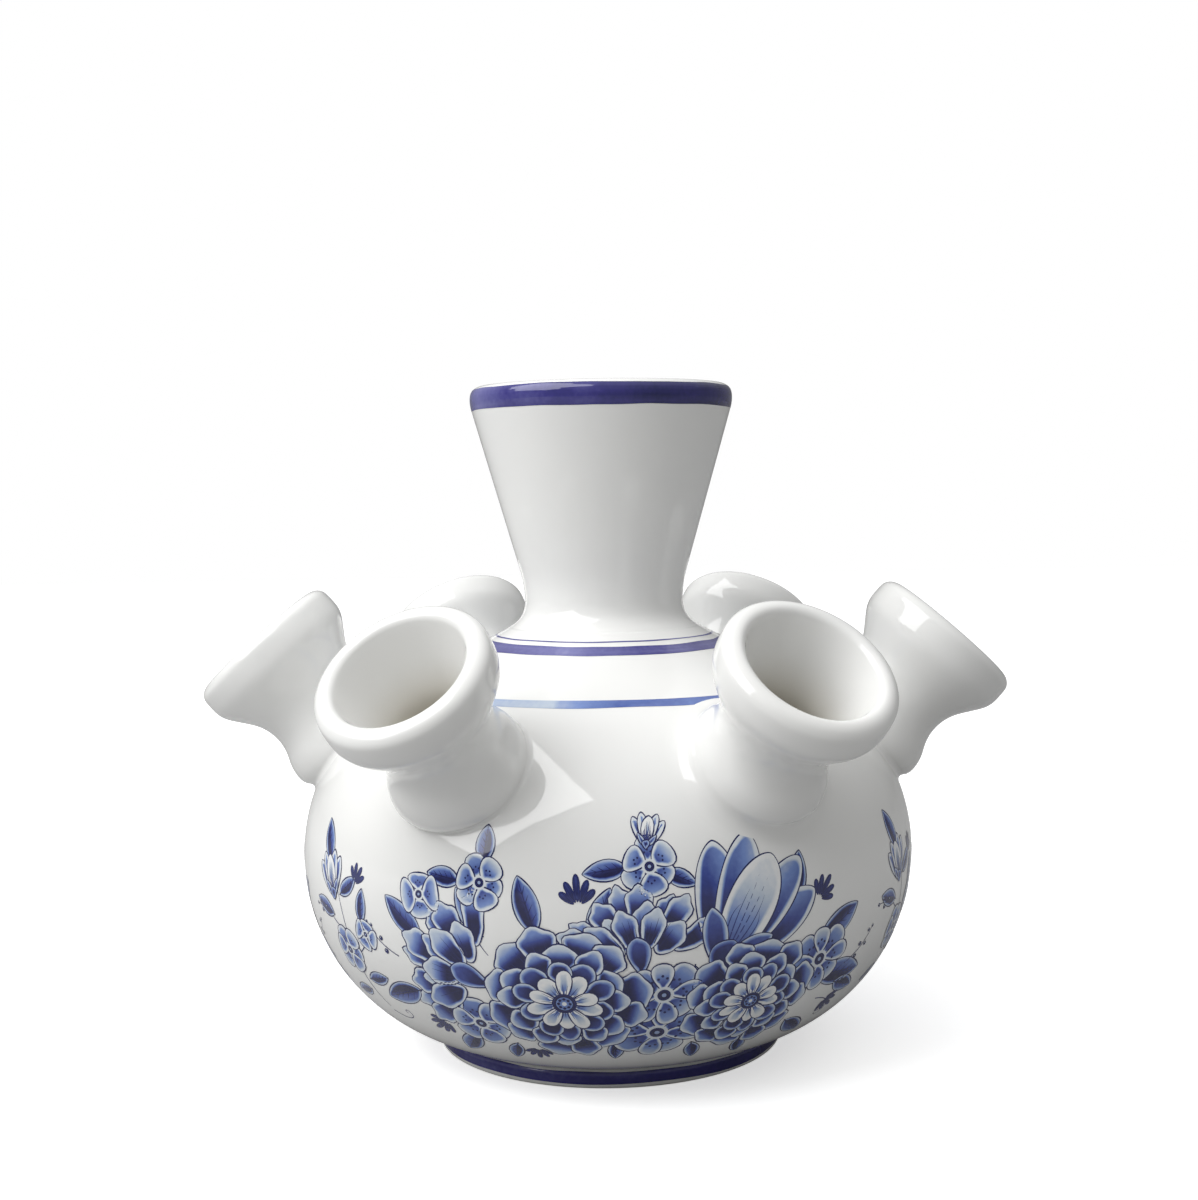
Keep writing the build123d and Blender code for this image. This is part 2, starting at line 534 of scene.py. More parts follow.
# The holes that the spouts stand over are cut through the body's wall
def drillBody(body, sizes):
    radius = sizes["waistRadius"] - sizes["wall"] + sizes["drillSpare"]
    for number in range(1, sizes["count"] + 1):
        deselect()
        bpy.ops.mesh.primitive_cylinder_add(
            vertices=sizes["drillSides"], radius=radius, depth=sizes["drillDepth"]
        )
        drill = bpy.context.object
        drill.data.transform(spoutPlace(sizes, number))
        pick(body)
        cut = body.modifiers.new("hole", "BOOLEAN")
        cut.operation = "DIFFERENCE"
        cut.solver = "EXACT"
        cut.object = drill
        bpy.ops.object.modifier_apply(modifier="hole")
        bpy.data.objects.remove(drill)


# Neck and foot ring

def makeNeck(sizes, outline):
    spacing = sizes["seatSpacing"]
    bore = linePoints(outline[-1], Vector((outline[-1].x, outline[0].y)), spacing)
    seat = linePoints(bore[-1], outline[0], spacing)
    neck = turnedPiece("neck", joined(outline, bore, seat), sizes["steps"])
    # Marks where the glaze gets painted shade down the bore
    markThroatShade(neck, Matrix(), sizes["throatTop"], sizes["throatDepth"])
    return neck


footSizes = {
    "height": 0.0042,
    "topRadius": 0.0399,
    "bottomRadius": 0.0394,
    "innerRadius": 0.0339,
    "edgeRound": 0.0009,
    "shoulderRound": 0.0011,
    "spacing": 0.001,
    "sideSpacing": 0.0005,
    "roundSpacing": 0.0002,
    "restLevel": 0.0002,
    "steps": 256,
}


# Up the foot ring's outside and over its shoulder
def footOutside(sizes):
    bottom, top, height = sizes["bottomRadius"], sizes["topRadius"], sizes["height"]
    edge, shoulder, fine = sizes["edgeRound"], sizes["shoulderRound"], sizes["roundSpacing"]
    sideTop = Vector((top, height - shoulder))
    return joined(
        arcPoints(Vector((bottom - edge, edge)), edge, -pi / 2, 0, fine),
        linePoints(Vector((bottom, edge)), sideTop, sizes["sideSpacing"]),
        arcPoints(Vector((top - shoulder, height - shoulder)), shoulder, 0, pi / 2, fine),
    )


def makeFootRing(sizes):
    inner, edge, spacing = sizes["innerRadius"], sizes["edgeRound"], sizes["spacing"]
    outside = footOutside(sizes)
    outline = joined(
        linePoints(Vector((inner, sizes["height"])), Vector((inner, edge)), spacing),
        arcPoints(Vector((inner + edge, edge)), edge, pi, pi * 1.5, sizes["roundSpacing"]),
        linePoints(Vector((inner + edge, 0)), outside[0], spacing),
        outside,
    )
    return turnedPiece("foot_ring", outline, sizes["steps"])


# Finishes

glazeColours = {
    "white": (0.80, 0.798, 0.776, 1),
    "cool": (0.762, 0.767, 0.76, 1),
    "speck": (0.34, 0.29, 0.23, 1),
    # The throat colour is a painted shade, laid down the bores of the spouts and neck
    "throatShade": (0.60, 0.565, 0.49, 1),
}
clayColours = {
    "light": (0.60, 0.54, 0.45, 1),
    "dark": (0.50, 0.45, 0.38, 1),
}


# A node with its settings, and the values of its inputs by name or by number
def addNode(tree, kind, values={}, **settings):
    node = tree.nodes.new(f"ShaderNode{kind}")
    for name, value in settings.items():
        setattr(node, name, value)
    for name, value in values.items():
        node.inputs[name].default_value = value
    return node


# Each link: a node and its output, then a node and its input
def addLinks(tree, *links):
    for source, output, target, entry in links:
        tree.links.new(source.outputs[output], target.inputs[entry])


def startMaterial(name, **values):
    material = bpy.data.materials.new(name)
    material.use_nodes = True
    shader = material.node_tree.nodes["Principled BSDF"]
    for entry, value in values.items():
        shader.inputs[entry].default_value = value
    return material, material.node_tree, shader


# Shared by glaze and paint: a clear coat that is nearly flat, with rare pinholes in it
def makeCoatGroup():
    group = bpy.data.node_groups.new("glaze_coat", "ShaderNodeTree")
    put = group.interface.new_socket
    put(name="Wave", in_out="INPUT", socket_type="NodeSocketFloat").default_value = 0.35
    put(name="Normal", in_out="OUTPUT", socket_type="NodeSocketVector")
    put(name="Speck", in_out="OUTPUT", socket_type="NodeSocketFloat")
    put(name="Cloud", in_out="OUTPUT", socket_type="NodeSocketFloat")
    inputs, outputs = group.nodes.new("NodeGroupInput"), group.nodes.new("NodeGroupOutput")
    place = addNode(group, "TexCoord")
    wave = addNode(group, "TexNoise", {"Scale": 60, "Detail": 2})
    cloud = addNode(group, "TexNoise", {"Scale": 22, "Detail": 3})
    grain = addNode(group, "TexVoronoi", {"Scale": 95})
    size = addNode(group, "MapRange", {"From Min": 0.035, "From Max": 0.02})
    rare = addNode(group, "SeparateColor")
    few = addNode(group, "Math", {1: 0.86}, operation="GREATER_THAN")
    speck = addNode(group, "Math", operation="MULTIPLY")
    bump = addNode(group, "Bump", {"Distance": 0.0003})
    addLinks(
        group,
        *[(place, "Object", texture, "Vector") for texture in (wave, cloud, grain)],
        (inputs, "Wave", bump, "Strength"),
        (wave, "Fac", bump, "Height"),
        (grain, "Distance", size, "Value"),
        (grain, "Color", rare, "Color"),
        (rare, "Red", few, 0),
        (few, "Value", speck, 0),
        (size, "Result", speck, 1),
        (bump, "Normal", outputs, "Normal"),
        (speck, "Value", outputs, "Speck"),
        (cloud, "Fac", outputs, "Cloud"),
    )
    return group


coatGroup = makeCoatGroup()


def startCoated(name):
    material, tree, shader = startMaterial(name, Roughness=0.05, IOR=1.56)
    coat = addNode(tree, "Group", node_tree=coatGroup)
    addLinks(tree, (coat, "Normal", shader, "Normal"))
    return material, tree, shader, coat


def makeGlaze(colours):
    material, tree, shader, coat = startCoated("white_glaze")
    tints = {"A": colours["white"], "B": colours["cool"]}
    tone = addNode(tree, "Mix", tints, data_type="RGBA")
    specked = addNode(tree, "Mix", {"B": colours["speck"]}, data_type="RGBA")
    # Painted shade: the glaze turns towards the throat colour down the bores
    throatShade = addNode(tree, "Attribute", attribute_name="throatShade")
    throatShaded = addNode(tree, "Mix", {"B": colours["throatShade"]}, data_type="RGBA")
    addLinks(
        tree,
        (coat, "Cloud", tone, "Factor"),
        (throatShade, "Fac", throatShaded, "Factor"),
        (tone, "Result", throatShaded, "A"),
        (coat, "Speck", specked, "Factor"),
        (throatShaded, "Result", specked, "A"),
        (specked, "Result", shader, "Base Color"),
    )
    return material


# Blue under the glaze, by how much pigment there is, with the streaks of a soft brush
def makePaint(name, colours):
    material, tree, shader, _ = startCoated(name)
    pigment = addNode(tree, "Attribute", attribute_name="pigment")
    place = addNode(tree, "TexCoord")
    streak = addNode(tree, "TexNoise", {"Scale": 900, "Detail": 2})
    uneven = addNode(tree, "MapRange", {"To Min": -0.05, "To Max": 0.05})
    amount = addNode(tree, "Math", operation="ADD")
    ramp = addNode(tree, "ValToRGB")
    stops = ramp.color_ramp.elements
    for pigmentShare, colour in colours.items():
        ends = {0: stops[0], 1: stops[-1]}
        stop = ends.get(pigmentShare) or stops.new(pigmentShare)
        stop.color = (*colour, 1)
    addLinks(
        tree,
        (place, "Object", streak, "Vector"),
        (streak, "Fac", uneven, "Value"),
        (pigment, "Fac", amount, 0),
        (uneven, "Result", amount, 1),
        (amount, "Value", ramp, "Fac"),
        (ramp, "Color", shader, "Base Color"),
    )
    return material


# The face that the foot ring stands on was wiped clean before firing
def bareClay(piece, colours, restLevel):
    material, tree, shader = startMaterial("bare_clay", Roughness=0.85)
    place = addNode(tree, "TexCoord")
    grain = addNode(tree, "TexNoise", {"Scale": 1400})
    tints = {"A": colours["light"], "B": colours["dark"]}
    tone = addNode(tree, "Mix", tints, data_type="RGBA")
    bump = addNode(tree, "Bump", {"Strength": 0.5, "Distance": 0.00008})
    addLinks(
        tree,
        (place, "Object", grain, "Vector"),
        (grain, "Fac", tone, "Factor"),
        (grain, "Fac", bump, "Height"),
        (tone, "Result", shader, "Base Color"),
        (bump, "Normal", shader, "Normal"),
    )
    piece.data.materials.append(material)
    for polygon in piece.data.polygons:
        if polygon.center.z < restLevel:
            polygon.material_index = 1


glaze = makeGlaze(glazeColours)

body = makeBody(bodySizes, bodyOutline)
drillBody(body, spoutSizes)
finishPiece(body, glaze, "body")
print("body turned and drilled")
for number, joint in spoutJoints.items():
    spout = makeSpout(spoutSizes, number, joint)
    finishPiece(spout, glaze, f"spout_{number}")
print("spouts set on the body")
neck = makeNeck(neckSizes, neckOutline)
finishPiece(neck, glaze, "neck")
footRing = makeFootRing(footSizes)
finishPiece(footRing, glaze, "foot_ring")
bareClay(footRing, clayColours, footSizes["restLevel"])
print("neck and foot ring turned")


# Painted decoration: thin sheets laid on the glaze. Each vertex holds how much pigment is
# there, from 0 for bare white to 1 for the darkest blue.

paintSizes = {
    "lift": 0.00004,
    "layer": 0.000007,
    "mm": 0.001,
    "samePlace": 2e-6,
}


# An outline to be painted on, with the distance along it at each of its points
def newSheet(outline):
    runs = [0]
    for before, after in zip(outline, outline[1:]):
        runs.append(runs[-1] + (after - before).length)
    return {"outline": outline, "runs": runs, "points": [], "facing": [], "pigment": [], "faces": []}


# Radius and height at a distance along the outline, and the outward normal there
def followed(sheet, run):
    outline, runs = sheet["outline"], sheet["runs"]
    spot = clamped(bisect(runs, run) - 1, 0, len(outline) - 2)
    step = outline[spot + 1] - outline[spot]
    point = outline[spot] + step * ((run - runs[spot]) / (runs[spot + 1] - runs[spot]))
    return point, Vector((step.y, -step.x)).normalized()


# Distance along the outline where its points' numbers rise through this value
def runWhere(sheet, numbers, value, first=0):
    runs = sheet["runs"]
    for spot in range(first, len(numbers) - 1):
        if numbers[spot] <= value <= numbers[spot + 1]:
            share = (value - numbers[spot]) / (numbers[spot + 1] - numbers[spot])
            return runs[spot] + (runs[spot + 1] - runs[spot]) * share
    return runs[-1]


def runAt(sheet, height):
    return runWhere(sheet, [point.y for point in sheet["outline"]], height)


# Above the widest level, where the outline draws in
def runAtRadius(sheet, radius):
    widths = [-point.x for point in sheet["outline"]]
    return runWhere(sheet, widths, -radius, widths.index(min(widths)))


# One vertex, at an angle from the front, positive to the right, and a distance along
def addPoint(sheet, angle, run, layer, pigment):
    point, normal = followed(sheet, run)
    out = Vector((sin(angle), -cos(angle), 0))
    facing = out * normal.x + Vector((0, 0, normal.y))
    lift = paintSizes["lift"] + paintSizes["layer"] * layer
    sheet["points"].append(out * point.x + Vector((0, 0, point.y)) + facing * lift)
    sheet["facing"].append(facing)
    sheet["pigment"].append(clamped(pigment))
    return len(sheet["points"]) - 1


# Faces between rows of vertices. A closed row ends where it began.
def addRows(sheet, rows, closed=False):
    for before, after in zip(rows, rows[1:]):
        for spot in range(len(before) if closed else len(before) - 1):
            near = (spot + 1) % len(before)
            sheet["faces"].append((before[spot], before[near], after[near], after[spot]))


# A place on the sheet's wall from an angle in degrees and a height in millimetres
def wallPlace(sheet, angle, height):
    run = runAt(sheet, height * paintSizes["mm"])
    radius = followed(sheet, run)[0].x
    return {"sheet": sheet, "angle": radians(angle), "run": run, "radius": radius}


# A point some millimetres to the right of a place on the wall and above it
def addNear(place, x, y, layer, pigment):
    angle = place["angle"] + x * paintSizes["mm"] / place["radius"]
    run = place["run"] + y * paintSizes["mm"]
    return addPoint(place["sheet"], angle, run, layer, pigment)


petalLook = {
    "sharp": 0,
    "skew": 0.2,
    "lobes": 0,
    "wave": 0,
    "line": 0.96,
    "lineWidth": 0.24,
    "lineRipple": 0.3,
    "edge": 0.1,
    "rim": 0.55,
    "rimRipple": 0.35,
    "tip": 0.35,
    "base": 0.8,
    "half": 0,
    "fall": 1.2,
    "shade": 0,
    "spacing": 0.9,
}


# One petal or leaf: a dark line, a pale edge and a wash that darkens towards its base
def addPetal(place, turn, start, length, width, layer, **changes):
    look = {**petalLook, **changes}
    along = direction(turn)
    spine = max((length - width) / 2, 0)
    steps = max(16, ceil(1.6 * (length + width) / look["spacing"]))
    inner = max(2, ceil(width / 2 / look["spacing"]))
    rings = [[] for _ in range(4 + inner)]
    for step in range(steps):
        angle = tau * step / steps
        swell = 1 + look["wave"] * cos(look["lobes"] * angle) * (cos(angle) > -0.2)
        narrow = abs(sin(angle)) ** look["sharp"] * (1 + look["skew"] * cos(angle))
        x = length / 2 * cos(angle) * swell
        edge = Vector((x, width / 2 * sin(angle) * narrow * swell))
        heart = Vector((clamped(x, -spine, spine), 0))
        reach = (heart - edge).length
        line = look["lineWidth"] * (1 + look["lineRipple"] * sin(3 * angle + turn * 5))
        rim = look["rim"] * (1 + look["rimRipple"] * sin(5 * angle + turn * 9))
        wash = line + rim
        rest = max(reach - wash, 0)
        insets = [(0, look["line"]), (line, look["line"])]
        insets += [(line * 1.15, look["edge"] * 0.8), (wash, look["edge"] * 1.4)]
        insets += [(wash + rest * (number + 1) / inner, None) for number in range(inner)]
        for ring, (inset, pigment) in zip(rings, insets):
            point = edge.lerp(heart, min(inset / reach, 1) if reach > 0.001 else 1)
            if pigment is None:
                fade = 0.5 + (point.x / length - look["half"]) * look["fall"]
                pigment = look["base"] + (look["tip"] - look["base"]) * eased(clamped(fade))
                pigment += look["shade"] * clamped(point.y / width * 6, -1, 1)
            spot = along * (start + length / 2 + point.x) + along.orthogonal() * point.y
            ring.append(addNear(place, spot.x, spot.y, layer, pigment))
    addRows(place["sheet"], rings, closed=True)


# A brush stroke whose course is a Bezier curve. Its width goes from the first share of the
# width through the second to the third.
def addStroke(place, corners, width, layer, pigment, swell=(0.4, 1.4, 0.2), steps=14):
    points = []
    for step in range(steps + 1):
        run = [Vector(corner) for corner in corners]
        while len(run) > 1:
            run = [a.lerp(b, step / steps) for a, b in zip(run, run[1:])]
        points.append(run[0])
    rows = []
    for spot, point in enumerate(points):
        heading = points[min(spot + 1, steps)] - points[max(spot - 1, 0)]
        side = heading.normalized().orthogonal()
        t = spot / steps
        share = swell[0] * (1 - t) ** 2 + swell[1] * 2 * t * (1 - t) + swell[2] * t ** 2
        ends = [point + side * width * share * half for half in (0.5, -0.5)]
        rows.append([addNear(place, end.x, end.y, layer, pigment) for end in ends])
    addRows(place["sheet"], rows)


def addDot(place, x, y, radius, layer, pigment, steps=12):
    heart = addNear(place, x, y, layer, pigment)
    ring = []
    for step in range(steps):
        turn = tau * step / steps
        ring.append(addNear(
            place, x + radius * cos(turn), y + radius * sin(turn), layer, pigment
        ))
    for first, second in zip(ring, ring[1:] + ring[:1]):
        place["sheet"]["faces"].append((first, second, heart))


def addDisc(place, radius, layer, pigment):
    addPetal(
        place, 0, -radius, radius * 2, radius * 2, layer,
        skew=0, line=pigment, edge=pigment, tip=pigment, base=pigment, rim=0.1,
    )


# Petals side by side round a centre, no two quite alike. Neighbours overlap, so they lie in
# two layers.
def addWheel(place, count, start, length, width, layer, turn=0, spread=tau, **changes):
    for number in range(count):
        angle = turn + spread * ((number + 0.5) / count - 0.5) + 0.08 * sin(number * 2.7 + width)
        reach = length * (1 + 0.09 * sin(number * 1.9 + start))
        broad = width * (1 + 0.13 * sin(number * 3.3 + length))
        look = {**petalLook, **changes}
        look["tip"] += 0.12 * sin(number * 2.1 + length)
        addPetal(place, angle, start, reach, broad, layer + number % 2, **look)


# Fine lines that fan out from a centre
def addFan(place, count, start, end, layer, turn=0, spread=tau, width=0.2, pigment=0.9):
    for number in range(count):
        angle = turn + spread * ((number + 0.5) / count - 0.5)
        far = end * (0.88 + 0.12 * sin(number * 2.4))
        ends = [direction(angle) * start, direction(angle) * far]
        addStroke(place, ends, width, layer, pigment, (1, 0.8, 0.2), 4)


# Flowers and leaves. Each is drawn about its own place, with its layers from the given one
# up, and its measures are shares of its radius or length.

def addRosette(place, radius, layer, turn=0):
    addWheel(
        place, 12, radius * 0.56, radius * 0.46, radius * 0.48, layer, turn,
        lobes=5, wave=0.075, tip=0.38, base=1.05, rim=0.38, edge=0.14, half=0.13, fall=1.9,
    )
    addFan(place, 72, radius * 0.6, radius * 0.86, layer + 2, turn, pigment=0.88)
    addWheel(
        place, 12, radius * 0.4, radius * 0.4, radius * 0.38, layer + 3, turn + 0.26,
        lobes=4, wave=0.08, tip=0.34, base=1.05, rim=0.38, edge=0.14, half=0.14, fall=2,
    )
    addWheel(
        place, 10, radius * 0.26, radius * 0.36, radius * 0.34, layer + 5, turn + 0.1,
        lobes=3, wave=0.07, tip=0.8, base=1.1, rim=0.34, edge=0.24,
    )
    addWheel(
        place, 10, radius * 0.08, radius * 0.38, radius * 0.23, layer + 7, turn,
        tip=0.03, base=0.66, rim=0.6, edge=0.02,
    )
    addFan(place, 30, radius * 0.12, radius * 0.3, layer + 9, turn, pigment=0.85)
    addDisc(place, radius * 0.15, layer + 10, 0.95)
    addDisc(place, radius * 0.1, layer + 11, 0.5)
    for number in range(8):
        way = direction(tau * number / 8) * radius * 0.07
        addDot(place, way.x, way.y, radius * 0.02, layer + 12, 0.98, 8)
    addDot(place, 0, 0, radius * 0.03, layer + 12, 0.05, 8)


# A tulip seen from the side, opening along turn
def addTulip(place, turn, length, layer):
    for side in (-1, 1):
        addPetal(
            place, turn + side * 0.52, 0, length * 0.95, length * 0.34, layer,
            tip=0.6, base=1.1, sharp=0.3, shade=0.1 * side,
        )
        addPetal(
            place, turn + side * 0.24, 0, length * 1.02, length * 0.33,
            layer + 1 + (side > 0), tip=0.5, base=1, sharp=0.2, shade=0.1 * side,
        )
    addPetal(
        place, turn, 0, length * 0.92, length * 0.4, layer + 3,
        tip=0.1, base=0.75, sharp=0.25, rim=0.9, edge=0.03,
    )
    for side in (-1, 1):
        for number in range(3):
            way = direction(turn + side * (0.05 + number * 0.055))
            bow = way.orthogonal() * side * length * 0.05 * number
            far = way * length * (0.74 - number * 0.12)
            corners = [way * length * 0.12, way * length * 0.4 + bow, far]
            addStroke(place, corners, 0.3, layer + 4, 0.85, (1, 0.8, 0.1), 8)
        addPetal(
            place, turn + side * 0.62, -length * 0.02, length * 0.5, length * 0.2, layer + 5,
            tip=0.7, base=1, sharp=0.6, edge=0.25, rim=0.35,
        )
    addPetal(
        place, turn, -length * 0.06, length * 0.3, length * 0.26, layer + 6,
        tip=0.85, base=1, sharp=0.4, edge=0.4, rim=0.3,
    )


# A carnation seen from the side: fringed petals that fan out of a dark cup
def addCarnation(place, turn, length, layer):
    addWheel(
        place, 8, length * 0.42, length * 0.56, length * 0.3, layer, turn, 2.5,
        lobes=6, wave=0.085, tip=0.4, base=1.08, rim=0.38, edge=0.14, half=0.15, fall=1.9,
    )
    addWheel(
        place, 6, length * 0.24, length * 0.52, length * 0.3, layer + 2, turn, 1.9,
        lobes=5, wave=0.08, tip=0.36, base=1.1, rim=0.38, edge=0.14, half=0.06, fall=1.7,
    )
    addFan(place, 15, length * 0.34, length * 0.66, layer + 4, turn, 1.7, pigment=0.95)
    addPetal(
        place, turn, -length * 0.1, length * 0.5, length * 0.28, layer + 5,
        tip=0.75, base=1, sharp=0.4, edge=0.35, rim=0.4, skew=0.4,
    )


# A small flower seen from the front, with a ring of dots on its petals
def addBlossom(place, radius, layer, turn=0, count=6):
    addWheel(
        place, count, radius * 0.14, radius * 0.86, radius * 5.2 / count, layer, turn,
        tip=0.36, base=0.8, rim=0.34, skew=0.35,
    )
    for number in range(count):
        angle = turn + tau * (number + 0.5) / count
        for lean in (-0.22, 0, 0.22):
            way = direction(angle + lean) * radius * (0.56 - abs(lean) * 0.3)
            addDot(place, way.x, way.y, radius * 0.04, layer + 2, 0.95, 6)
    addDisc(place, radius * 0.25, layer + 3, 0.12)
    addDisc(place, radius * 0.17, layer + 4, 0.97)
    addDot(place, 0, 0, radius * 0.06, layer + 5, 0.4, 8)


# A leaf with its far half in shadow, a midrib and side veins
def addLeaf(place, turn, length, layer, width=0.46, side=1, dark=0.94):
    addPetal(
        place, turn, 0, length, length * width, layer,
        tip=dark - 0.2, base=dark, sharp=0.55, skew=-0.12, shade=0.2 * side, edge=0.25,
        rim=0.25,
    )
    along = direction(turn)
    across = along.orthogonal()
    corners = [along * -length * 0.02, along * length * 0.5, along * length * 0.97]
    addStroke(place, corners, 0.3, layer + 1, 0.98, (1, 0.9, 0.2), 10)
    for number in range(4):
        start = along * length * (0.2 + 0.16 * number)
        for lean in (-1, 1):
            reach = length * width * (0.3 - 0.045 * number)
            end = start + along * length * 0.13 + across * lean * reach
            addStroke(place, [start, end], 0.2, layer + 1, 0.96, (1, 0.8, 0.2), 4)


# Dark brush dabs side by side, the longest in the middle
def addDabs(place, turn, length, layer, count=5):
    for number in range(count):
        spread = number - (count - 1) / 2
        reach = length * (1 - 0.16 * abs(spread))
        addPetal(
            place, turn + spread * 0.42, length * 0.18, reach, length * 0.26, layer,
            line=0.92, edge=0.92, tip=0.8, base=0.98, rim=0.1, skew=0.3,
        )


# Berries one after another on a bowed stalk
def addBerries(place, turn, length, layer, bow=1, count=5):
    along = direction(turn)
    across = along.orthogonal() * bow
    end = along * length + across * length * 0.3
    corners = [Vector((0, 0)), along * length * 0.6, end]
    addStroke(place, corners, 0.26, layer, 0.9, (1, 0.9, 0.4), 12)
    for number in range(count):
        t = 0.3 + 0.7 * number / (count - 1)
        point = corners[1] * 2 * t * (1 - t) + end * t * t
        spot = point + across * (0.9 if number % 2 else -0.9) * (t < 0.99)
        addDot(place, spot.x, spot.y, 0.62 - 0.06 * number, layer + 1, 0.93)
        addDot(place, spot.x - 0.15, spot.y + 0.2, 0.16, layer + 2, 0.2, 6)


# A fine line that winds up at its end
def addTendril(place, turn, length, layer, bow=1, steps=29):
    points = []
    for step in range(steps + 1):
        t = step / steps
        angle = turn + bow * (t * 1.2 + 5.5 * t ** 3)
        last = points[-1] if points else Vector((0, 0))
        points.append(last + direction(angle) * length / steps * (1.25 - 0.75 * t))
    rows = []
    for spot, point in enumerate(points):
        heading = points[min(spot + 1, steps)] - points[max(spot - 1, 0)]
        side = heading.normalized().orthogonal() * (0.13 - 0.002 * spot)
        ends = [point + side, point - side]
        rows.append([addNear(place, end.x, end.y, layer, 0.85) for end in ends])
    addRows(place["sheet"], rows)


def makeSheet(name, sheet, material):
    piece = addToScene(name, bpy.data.meshes.new(name))
    mesh = piece.data
    mesh.from_pydata(sheet["points"], [], sheet["faces"])
    mesh.attributes.new("pigment", "FLOAT", "POINT").data.foreach_set("value", sheet["pigment"])
    facing = mesh.attributes.new("facing", "FLOAT_VECTOR", "POINT")
    facing.data.foreach_set("vector", [value for normal in sheet["facing"] for value in normal])
    clean = bmesh.new()
    clean.from_mesh(mesh)
    bmesh.ops.remove_doubles(clean, verts=clean.verts, dist=paintSizes["samePlace"])
    bmesh.ops.dissolve_degenerate(clean, edges=clean.edges, dist=samePlace)
    outward = clean.verts.layers.float_vector["facing"]
    for face in clean.faces:
        face.smooth = True
        if face.normal.dot(face.verts[0][outward]) < 0:
            face.normal_flip()
    clean.to_mesh(mesh)
    clean.free()
    # The wall's own normals, so that the paint shines as the glaze beside it does
    normals = [Vector(item.vector) for item in mesh.attributes["facing"].data]
    mesh.normals_split_custom_set_from_vertices(normals)
    mesh.attributes.remove(mesh.attributes["facing"])
    finishPiece(piece, material)
    return piece


bandLook = {
    "columns": 240,
    "rowSpacing": 0.00025,
    "leastRows": 6,
    "uneven": 0.06,
    "brush": 0.05,
    "pool": 0.05,
}


# A painted band from one distance along the outline to another, with wavering edges, brush
# marks round it and a little more paint at both edges
def addBand(sheet, low, high, waver, shade, seed):
    rows = []
    count = max(bandLook["leastRows"], ceil((high - low) / bandLook["rowSpacing"]))
    for column in range(bandLook["columns"]):
        angle = tau * column / bandLook["columns"]
        way = Vector((cos(angle), sin(angle), seed))
        edges = [
            end + waver * noise.noise(way * 3 + Vector((0, 0, end * 900))) for end in (low, high)
        ]
        tone = shade(angle if angle < pi else angle - tau)
        tone += bandLook["uneven"] * noise.noise(way * 5)
        row = []
        for step in range(count + 1):
            share = step / count
            run = edges[0] + (edges[1] - edges[0]) * share
            mark = noise.noise(Vector((cos(angle) * 2, sin(angle) * 2, share * 4 + seed)))
            pool = bandLook["pool"] * abs(2 * share - 1) ** 4
            row.append(addPoint(sheet, angle, run, 0, tone + bandLook["brush"] * mark + pool))
        rows.append(row)
    rows.append(rows[0])
    addRows(sheet, rows)


# Painted bands: round the lip, two round the neck's foot, one on the shoulder and one on
# the foot ring.
# The ends of the lip's and the foot's are heights, those of the thin line are distances
# outwards from its radius, and the others are radii.
bandSizes = {
    "lipFrom": 0.1444,
    "lipTo": 0.1492,
    "thinRadius": 0.0246,
    "thinFrom": 0.00045,
    "thinTo": 0,
    "thickFrom": 0.0298,
    "thickTo": 0.0265,
    "shoulderFrom": 0.0474,
    "shoulderTo": 0.0454,
    "footFrom": 0.0011,
    "footTo": 0.0038,
}


def paintBand(name, outline, find, ends, waver, shade, seed, paint):
    sheet = newSheet(outline)
    addBand(sheet, *[find(sheet, end) for end in ends], waver, shade, seed)
    makeSheet(name, sheet, paint)


def paintBands(sizes, violet, blue):
    def ends(band):
        return sizes[f"{band}From"], sizes[f"{band}To"]

    def outFromThin(sheet, distance):
        return runAtRadius(sheet, sizes["thinRadius"]) - distance

    foot = footOutside(footSizes)
    paintBand("lip_band", neckOutline, runAt, ends("lip"), 0.0003, lipTone, 1, violet)
    paintBand(
        "thin_line", bodyOutline, outFromThin, ends("thin"), 0.0002, lambda angle: 0.72, 2, violet
    )
    paintBand("thick_line", bodyOutline, runAtRadius, ends("thick"), 0.0003, thickTone, 3, violet)
    paintBand(
        "shoulder_line", bodyOutline, runAtRadius, ends("shoulder"), 0.0004, shoulderTone, 4, blue
    )
    paintBand("foot_band", foot, runAt, ends("foot"), 0.0003, footTone, 5, violet)


# The foot's band darkens a little towards the right: painted shade on the side away from the lamp
def footTone(angle):
    return 0.86 + 0.05 * sin(angle)


# The lip's band is paler towards the left, palest some way left of the front, and nearly black at
# the right
def lipTone(angle):
    return 0.88 + 0.08 * sin(angle) - 0.16 * max(0, 1 - abs(angle + 1.15) * 2)


def thickTone(angle):
    return 0.75 - 0.12 * max(0, 1 - abs(angle + 0.3) * 2.4)


# The brush began in front, a little left, and ran dry just before it came round again
def shoulderTone(angle):
    turn = (angle + radians(12)) % tau / tau
    return 0.7 - 0.42 * turn ** 0.7 if turn > 0.04 else 0.4 + 6 * turn


